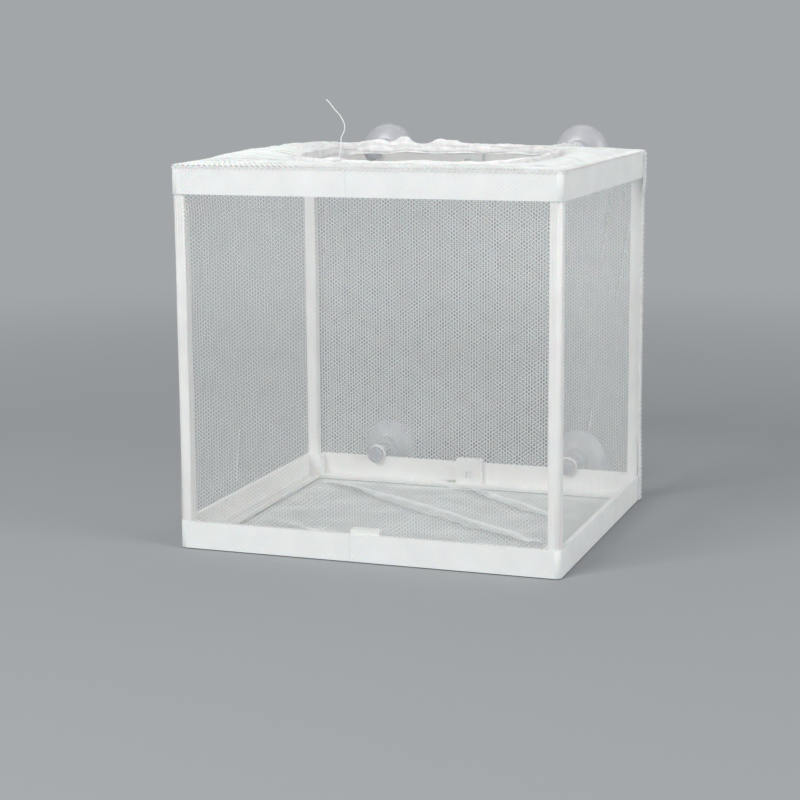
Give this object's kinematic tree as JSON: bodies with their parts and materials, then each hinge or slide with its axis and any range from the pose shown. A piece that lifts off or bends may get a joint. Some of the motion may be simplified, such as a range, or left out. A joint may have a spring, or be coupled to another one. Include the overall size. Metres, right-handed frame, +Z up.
{
  "type": "fish breeding box",
  "caption": "Net isolation box for fry: a knock-down plastic frame of rings and posts in a fine net bag with a gathered elastic mouth and clear suction cups.",
  "frame": {"origin": "middle of the underside of the net floor", "axes": "+X to the box's right seen from the front, +Y to the rear where the suction cups are, +Z up"},
  "size_m": [0.1606, 0.163, 0.1801],
  "materials": {
    "frame_plastic": "satin white moulded plastic",
    "net": "fine white knitted nylon mesh",
    "elastic": "white round elastic",
    "thread": "white sewing thread",
    "clear_vinyl": "clear soft vinyl"
  },
  "bodies": {
    "box": {"top_ring_left_half": "frame_plastic", "top_ring_right_half": "frame_plastic", "bottom_ring_left_half": "frame_plastic", "bottom_ring_right_half": "frame_plastic", "front_left_post": "frame_plastic", "front_right_post": "frame_plastic", "rear_left_post": "frame_plastic", "rear_right_post": "frame_plastic", "net_front": "net", "net_rear": "net", "net_left": "net", "net_right": "net", "net_floor": "net", "top_skirt": "net", "mouth_hem": "net", "mouth_elastic": "elastic", "hem_thread": "thread", "side_seam": "net", "thread_tail": "thread"},
    "cup_top_left": {"suction_cup_top_left": "clear_vinyl"},
    "cup_top_right": {"suction_cup_top_right": "clear_vinyl"},
    "cup_bottom_left": {"suction_cup_bottom_left": "clear_vinyl"},
    "cup_bottom_right": {"suction_cup_bottom_right": "clear_vinyl"}
  },
  "joints": [
    {"name": "top_left_cup_turn", "type": "hinge", "parent": "box", "child": "cup_top_left", "pos_m": [-0.046, 0.0706, 0.1527], "axis": [0, 1, 0], "continuous": true},
    {"name": "top_right_cup_turn", "type": "hinge", "parent": "box", "child": "cup_top_right", "pos_m": [0.046, 0.0706, 0.1527], "axis": [0, 1, 0], "continuous": true},
    {"name": "bottom_left_cup_turn", "type": "hinge", "parent": "box", "child": "cup_bottom_left", "pos_m": [-0.046, 0.0706, 0.0127], "axis": [0, 1, 0], "continuous": true},
    {"name": "bottom_right_cup_turn", "type": "hinge", "parent": "box", "child": "cup_bottom_right", "pos_m": [0.046, 0.0706, 0.0127], "axis": [0, 1, 0], "continuous": true}
  ]
}
